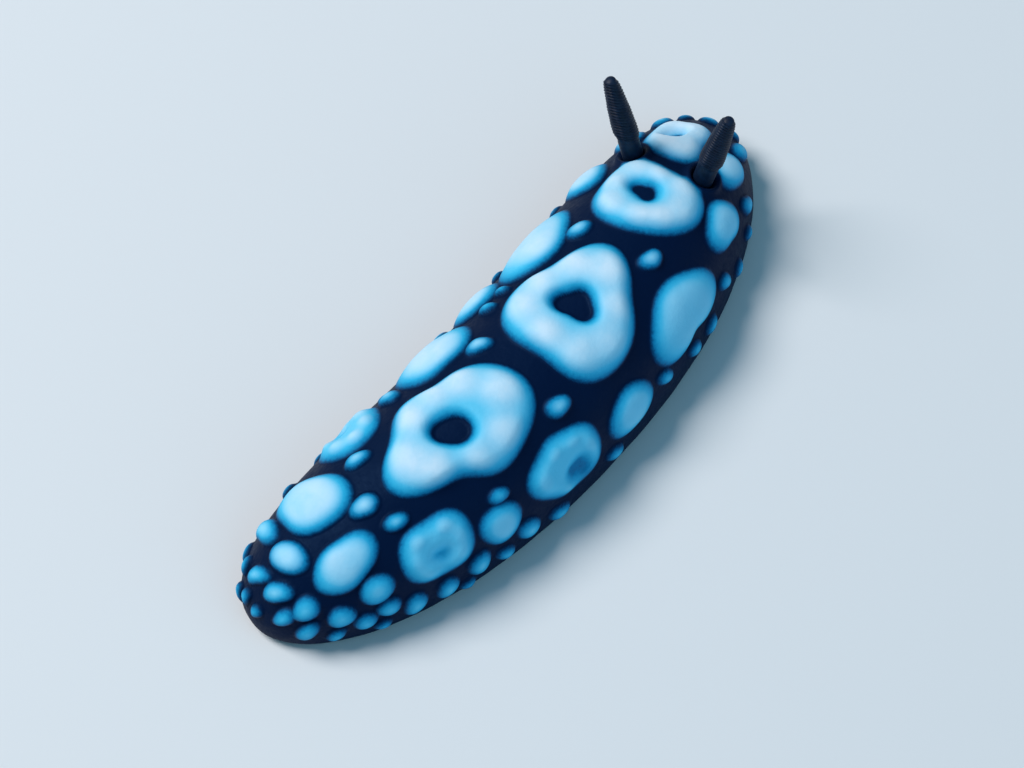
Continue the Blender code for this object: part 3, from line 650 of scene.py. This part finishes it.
skinLook = {
    "wartSideAndShade": (  # from the bare skin up the side of a wart: partly its own colour, partly painted shade darkening and bluing the rounded side
        (0.0, (0.0006, 0.0042, 0.0230)),
        (0.03, (0.002, 0.018, 0.070)),
        (0.12, (0.003, 0.16, 0.37)),
        (0.35, (0.014, 0.38, 0.66)),
        (0.7, (0.06, 0.52, 0.80)),
        (1.0, (0.14, 0.60, 0.86)),
    ),
    # the whitest top colour: partly the warts' pale skin, partly a painted highlight
    "wartTopAndHighlight": (0.66, 0.82, 0.94, 1),
    "topFade": (0.1, 0.75),
    "topShare": 0.95,
    "underside": (0.055, 0.065, 0.085, 1),
    "glossTint": (0.2, 0.5, 1, 1),
    "gloss": 0.14,
    "roughness": (0.48, 0.62),
    "patches": (0.9, 3),  # size in millimetres and detail, then how much of the top they leave
    "patchRange": (0.3, 0.6, 0.7, 1.0),
    "grain": (0.16, 3, 0.6),
    "grainBump": (0.02, 0.6),  # depth and strength
    "dimples": (0.5, 2),
    "dimpleBump": (0.04, 0.5),
    "frayed": 0.04,  # how far the grain frays the warts' edges
    "frayStart": 0.12,
}


def skinMaterial():
    material, tree, shader = makeMaterial("mantle skin", 0.5, skinLook["gloss"], skinLook["glossTint"])
    pale, crownAndPaintedLight, below = (
        addNode(tree, "ShaderNodeAttribute", attribute_name=name).outputs["Fac"]
        for name in ("pale", "crownAndPaintedLight", "below")
    )
    patches, grain = noise(tree, *skinLook["patches"]), noise(tree, *skinLook["grain"])
    frayed = remap(tree, grain, *noiseRange, -skinLook["frayed"], skinLook["frayed"])
    frayed = combine(tree, "MULTIPLY", frayed, remap(tree, pale, 0.0, skinLook["frayStart"]))
    wart = ramp(tree, combine(tree, "ADD", pale, frayed), skinLook["wartSideAndShade"])
    # the white tops carry a painted highlight on the puffs and painted shade on the flanks and tail
    topped = remap(tree, crownAndPaintedLight, *skinLook["topFade"], 0.0, skinLook["topShare"])
    topped = combine(tree, "MULTIPLY", topped, remap(tree, patches, *skinLook["patchRange"]))
    colour = blendColour(tree, topped, wart, skinLook["wartTopAndHighlight"])
    colour = blendColour(tree, below, colour, skinLook["underside"])
    tree.links.new(colour, shader.inputs["Base Color"])
    tree.links.new(remap(tree, grain, *noiseRange, *skinLook["roughness"]), shader.inputs["Roughness"])
    bump(tree, shader, grain, *skinLook["grainBump"])
    bump(tree, shader, noise(tree, *skinLook["dimples"]), *skinLook["dimpleBump"])
    return material


# feelers, sole and gills share one kind of finish: two mottled colours and a fine grain.
# mottle: size in millimetres and detail; grain: the same, then its depth and strength
fleshLooks = {
    "feeler skin": dict(
        roughness=0.5, gloss=0.25, mottle=(0.3, 3), grain=(0.08, 2, 0.008, 0.5),
        colours=((0.002, 0.007, 0.023, 1), (0.004, 0.016, 0.045, 1)),
    ),
    "sole skin": dict(
        roughness=0.42, gloss=0.3, mottle=(1.2, 4), grain=(0.12, 3, 0.015, 0.6),
        colours=((0.075, 0.09, 0.12, 1), (0.15, 0.17, 0.21, 1)),
        specks=(0.05, 0.06, 0.09, 1), speckRange=(0.55, 0.75),
    ),
    "gill skin": dict(
        roughness=0.38, gloss=0.3, mottle=(0.35, 3), grain=(0.1, 2, 0.01, 0.5),
        colours=((0.10, 0.12, 0.15, 1), (0.22, 0.25, 0.30, 1)),
    ),
}


def fleshMaterial(name):
    look = fleshLooks[name]
    material, tree, shader = makeMaterial(name, look["roughness"], look["gloss"])
    size, detail, depth, strength = look["grain"]
    grain = noise(tree, size, detail)
    mottle = remap(tree, noise(tree, *look["mottle"]), *noiseRange)
    colour = blendColour(tree, mottle, *look["colours"])
    if "specks" in look:
        colour = blendColour(tree, remap(tree, grain, *look["speckRange"]), colour, look["specks"])
    tree.links.new(colour, shader.inputs["Base Color"])
    bump(tree, shader, grain, depth, strength)
    return material


# the sole and the body wall over it
soleShape = {
    "middle": -1.2,
    "length": 22.4,
    "fullness": 0.7,  # the lower, the blunter its ends
    "stations": (0.0, 0.3, 0.42, 0.55, 0.6, 0.66, 1.0),  # top's middle, down the wall, sole's middle
    "widths": (0.0, 1.9, 2.05, 2.3, 2.28, 2.1, 0.0),
    "heights": (1.2, 1.2, 0.85, 0.3, 0.1, 0.0, 0.0),
    "edgeHeight": 0.1,  # the wall over this sinks towards the ends
    "endHeight": 0.55,
    "endReach": 1.6,
    "ruffle": 0.035,
    "ruffleWaves": (3.1, 1.3),
    "ruffledFrom": 2.15,  # only the broad rim is ruffled
    "sides": 96,
    "rings": 150,
}


def makeSole(material):
    edit, row, angle = ballGrid(soleShape["sides"], soleShape["rings"])
    turn = math.pi * row / soleShape["rings"]
    along = soleShape["middle"] - soleShape["length"] / 2 * np.cos(turn)
    plan = np.maximum(np.sin(turn), 0) ** soleShape["fullness"]
    share = np.abs(angle) / math.pi
    width = np.interp(share, soleShape["stations"], soleShape["widths"])
    height = np.interp(share, soleShape["stations"], soleShape["heights"])
    low = soleShape["endHeight"]
    sunk = low + (1 - low) * np.minimum(plan * soleShape["endReach"], 1)
    height = height * np.where(height > soleShape["edgeHeight"], sunk, 1)
    quick, slow = soleShape["ruffleWaves"]
    ruffle = soleShape["ruffle"] * np.sin(along * quick) * np.sin(along * slow + 1)
    left = np.sign(angle) * (width * plan + ruffle * (width > soleShape["ruffledFrom"]))
    movePoints(edit, place(along, left, height))
    return newPiece("sole", edit, material)


# gills: soft leaves hanging in the groove on each side, widths as shares of the half width
gillShape = {
    "reach": (-10.4, 8.6),
    "rootWidths": (0.64, 0.76),
    "rootHeights": (0.35, 1.12),
    "rootRoundness": 0.6,
    "leaves": 34,
    "leafRoot": 0.66,
    "leafSpan": 0.19,
    "leafSizes": (0.8, 0.2, 0.15),  # least, more in the middle of the row, and less at random
    "leafTilt": 0.12,
    "leafHeight": 0.52,
    "leafDrop": 0.125,
    "leafDepth": 0.32,
    "leafThickness": 0.3,
    "leafThinning": 0.35,
    "lowest": 0.15,
    "rootSegments": (16, 40),
    "leafSegments": (14, 10),
    "seed": 31,
}


def gillRoot(ball, low, high):
    middles, halves = [], []
    for first, last in (gillShape["rootWidths"], gillShape["rootHeights"]):
        middles.append((first + last) / 2)
        halves.append((last - first) / 2)
    squared = np.sign(ball) * np.abs(ball) ** gillShape["rootRoundness"]
    along = (low + high) / 2 + ball[:, 2] * (high - low) / 2
    return along, middles[0] + squared[:, 0] * halves[0], middles[1] + squared[:, 1] * halves[1]


def gillLeaf(ball, middle, size, tilt):
    out = 0.5 + 0.5 * ball[:, 0]
    along = middle + tilt * ball[:, 0]
    along = along + ball[:, 2] * gillShape["leafThickness"] / 2 * (1 - gillShape["leafThinning"] * out)
    across = gillShape["leafRoot"] + gillShape["leafSpan"] * size * out
    level = gillShape["leafHeight"] - gillShape["leafDrop"] * out + ball[:, 1] * gillShape["leafDepth"] * size
    return along, across, np.maximum(level, gillShape["lowest"])


def addBall(edit, sides, rows):
    start = len(edit.verts)
    bmesh.ops.create_uvsphere(edit, u_segments=sides, v_segments=rows, radius=1)
    edit.verts.ensure_lookup_table()
    return np.array([edit.verts[i].co for i in range(start, len(edit.verts))])


def makeGills(label, side, material):
    edit = bmesh.new()
    low, high = gillShape["reach"]
    draw = random.Random(gillShape["seed"] + side)
    parts = [gillRoot(addBall(edit, *gillShape["rootSegments"]), low, high)]
    least, more, less = gillShape["leafSizes"]
    for step in range(gillShape["leaves"]):
        share = (step + 0.5) / gillShape["leaves"]
        size = least + more * math.sin(math.pi * share) - draw.uniform(0, less)
        tilt = draw.uniform(-gillShape["leafTilt"], gillShape["leafTilt"])
        ball = addBall(edit, *gillShape["leafSegments"])
        parts.append(gillLeaf(ball, low + (high - low) * share, size, tilt))
    points = [place(along, side * across * halfWidth(along), level) for along, across, level in parts]
    movePoints(edit, np.concatenate(points))
    return newPiece("gill_leaves_" + label, edit, material)


# the mouth's bulb and its two short feelers
mouthShape = {
    "at": (11.1, 0.4),  # ahead, up
    "halfSize": (0.78, 1.05, 0.32),
    "slit": (0.3, 0.1),  # depth and width
    "segments": (64, 40),
}
tentacleShape = {
    "root": (11.65, 0.6, 0.45),  # ahead, out, up
    "length": 1.35,
    "radius": 0.26,
    "taper": 0.45,
    "tipFullness": 6,
    "rootFlare": 12,
    "droop": 0.08,
    "splay": math.radians(24),
    "segments": (24, 36),
}


def makeMouth(material):
    edit = bmesh.new()
    x, y, z = addBall(edit, *mouthShape["segments"]).T
    depth, width = mouthShape["slit"]
    slit = 1 - depth * np.maximum(x, 0) * np.exp(-((y / width) ** 2))
    ahead, up = mouthShape["at"]
    halfLength, halfBreadth, halfHeight = mouthShape["halfSize"]
    movePoints(edit, place(ahead + x * halfLength * slit, y * halfBreadth, up + z * halfHeight))
    return newPiece("mouth_bulb", edit, material)


def makeTentacle(label, side, material):
    sides, rows = tentacleShape["segments"]
    edit, row, angle = ballGrid(sides, rows)
    ahead, out, up = tentacleShape["root"]
    turn = ahead / bendRadius + side * tentacleShape["splay"]
    axis = np.array([math.cos(turn), math.sin(turn), 0])
    across = np.array([-math.sin(turn), math.cos(turn), 0])
    upright = np.array([0, 0, 1])
    share = 1 - row / rows
    radius = tentacleShape["radius"] * (1 - tentacleShape["taper"] * share)
    radius = radius * np.sqrt(np.clip(1 - share ** tentacleShape["tipFullness"], 0, 1))
    radius = radius * np.minimum(1, tentacleShape["rootFlare"] * share) ** 0.5
    base = place(np.array(ahead), np.array(side * out), np.array(up))
    middle = axis * (tentacleShape["length"] * share)[:, None]
    middle = middle - upright * (tentacleShape["droop"] * share ** 2)[:, None]
    offset = np.cos(angle)[:, None] * across + np.sin(angle)[:, None] * upright
    movePoints(edit, base + middle + offset * radius[:, None])
    return newPiece("mouth_feeler_" + label, edit, material)


# studio: pale floor, soft lights, and the camera at the photo's angle
studio = {
    "floorSize": 3.0,
    "floorColour": (0.72, 0.74, 0.76, 1),
    "worldColour": (0.38, 0.72, 1.0, 1),
    "worldStrength": 0.25,
    "lamps": (  # place and size in metres, power, colour
        ((-0.08, 0.20, 0.30), 0.20, 1.32, (1.0, 0.96, 0.94)),
        ((0.0, -0.34, 0.18), 0.55, 0.56, (0.34, 0.77, 1.0)),
    ),
}
cameraView = {
    "azimuth": -47.0,
    "elevation": 61.0,
    "roll": -4.0,
    "distance": 165.0,
    "target": (0.0, 0.0, 2.0),
    "targetPixel": (538.4, 375.5),
    "pixelsPerMm": 26.1,
    "imageSize": (1024, 768),
    "sensorWidth": 36,
}


def makeStudio():
    edit = bmesh.new()
    bmesh.ops.create_grid(edit, x_segments=1, y_segments=1, size=studio["floorSize"] / 2)
    material, _, shader = makeMaterial("floor", 0.8)
    shader.inputs["Base Color"].default_value = studio["floorColour"]
    floor = newPiece("floor", edit, material)
    world = bpy.data.worlds.new("studio")
    world.use_nodes = True
    world.node_tree.nodes["Background"].inputs["Color"].default_value = studio["worldColour"]
    world.node_tree.nodes["Background"].inputs["Strength"].default_value = studio["worldStrength"]
    bpy.context.scene.world = world
    for number, (spot, size, power, colour) in enumerate(studio["lamps"]):
        lamp = bpy.data.lights.new(f"softbox{number}", "AREA")
        lamp.shape = "DISK"
        lamp.size = size
        lamp.energy = power
        lamp.color = colour
        holder = bpy.data.objects.new(lamp.name, lamp)
        holder.location = spot
        holder.rotation_euler = (-Vector(spot)).to_track_quat("-Z", "Y").to_euler()
        bpy.context.scene.collection.objects.link(holder)
    bpy.context.scene.view_settings.view_transform = "Standard"  # keeps the deep black and clear blue


def makeCamera():
    turn, tip, roll = (math.radians(cameraView[key]) for key in ("azimuth", "elevation", "roll"))
    back = Vector((math.sin(turn) * math.cos(tip), -math.cos(turn) * math.cos(tip), math.sin(tip)))
    level = Vector((math.cos(turn), math.sin(turn), 0))
    upright = back.cross(level)
    right = level * math.cos(roll) + upright * math.sin(roll)
    up = upright * math.cos(roll) - level * math.sin(roll)
    wide, high = cameraView["imageSize"]
    scale = cameraView["pixelsPerMm"]
    aim = Vector(cameraView["target"]) - Vector((*bodyShape["middle"], 0))
    aim -= right * (cameraView["targetPixel"][0] - wide / 2) / scale
    aim += up * (cameraView["targetPixel"][1] - high / 2) / scale
    data = bpy.data.cameras.new("camera")
    data.sensor_width = cameraView["sensorWidth"]
    data.lens = scale * cameraView["distance"] / wide * data.sensor_width
    data.clip_start = 0.01
    camera = bpy.data.objects.new("camera", data)
    camera.matrix_world = Matrix((right, up, back)).transposed().to_4x4()
    camera.location = (aim + back * cameraView["distance"]) * mm
    bpy.context.scene.collection.objects.link(camera)
    bpy.context.scene.camera = camera


def dress(piece, slot, *nodes):
    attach(piece, "root")
    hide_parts(*nodes)


makeCamera()
makeStudio()
print("camera and studio ready")
skin = makeSkin(skinMaterial())
dress(skin, "mantle", "mantle_head", "mantle_fore", "mantle_hind", "mantle_tail")
feelerSkin, soleSkin, gillSkin = (fleshMaterial(name) for name in fleshLooks)
for side in feelerShape["sides"]:
    dress(makeFeeler(side, feelerSkin), "feeler", "rhinophore_" + side)
print("feelers ready")
dress(makeSole(soleSkin), "sole", "foot")
dress(makeMouth(soleSkin), "sole", "mouth")
for label, side in (("left", 1), ("right", -1)):
    dress(makeTentacle(label, side, soleSkin), "sole", "oral_tentacle_" + label)
    dress(makeGills(label, side, gillSkin), "gill", "gills_" + label)
print("sole, mouth and gills ready")
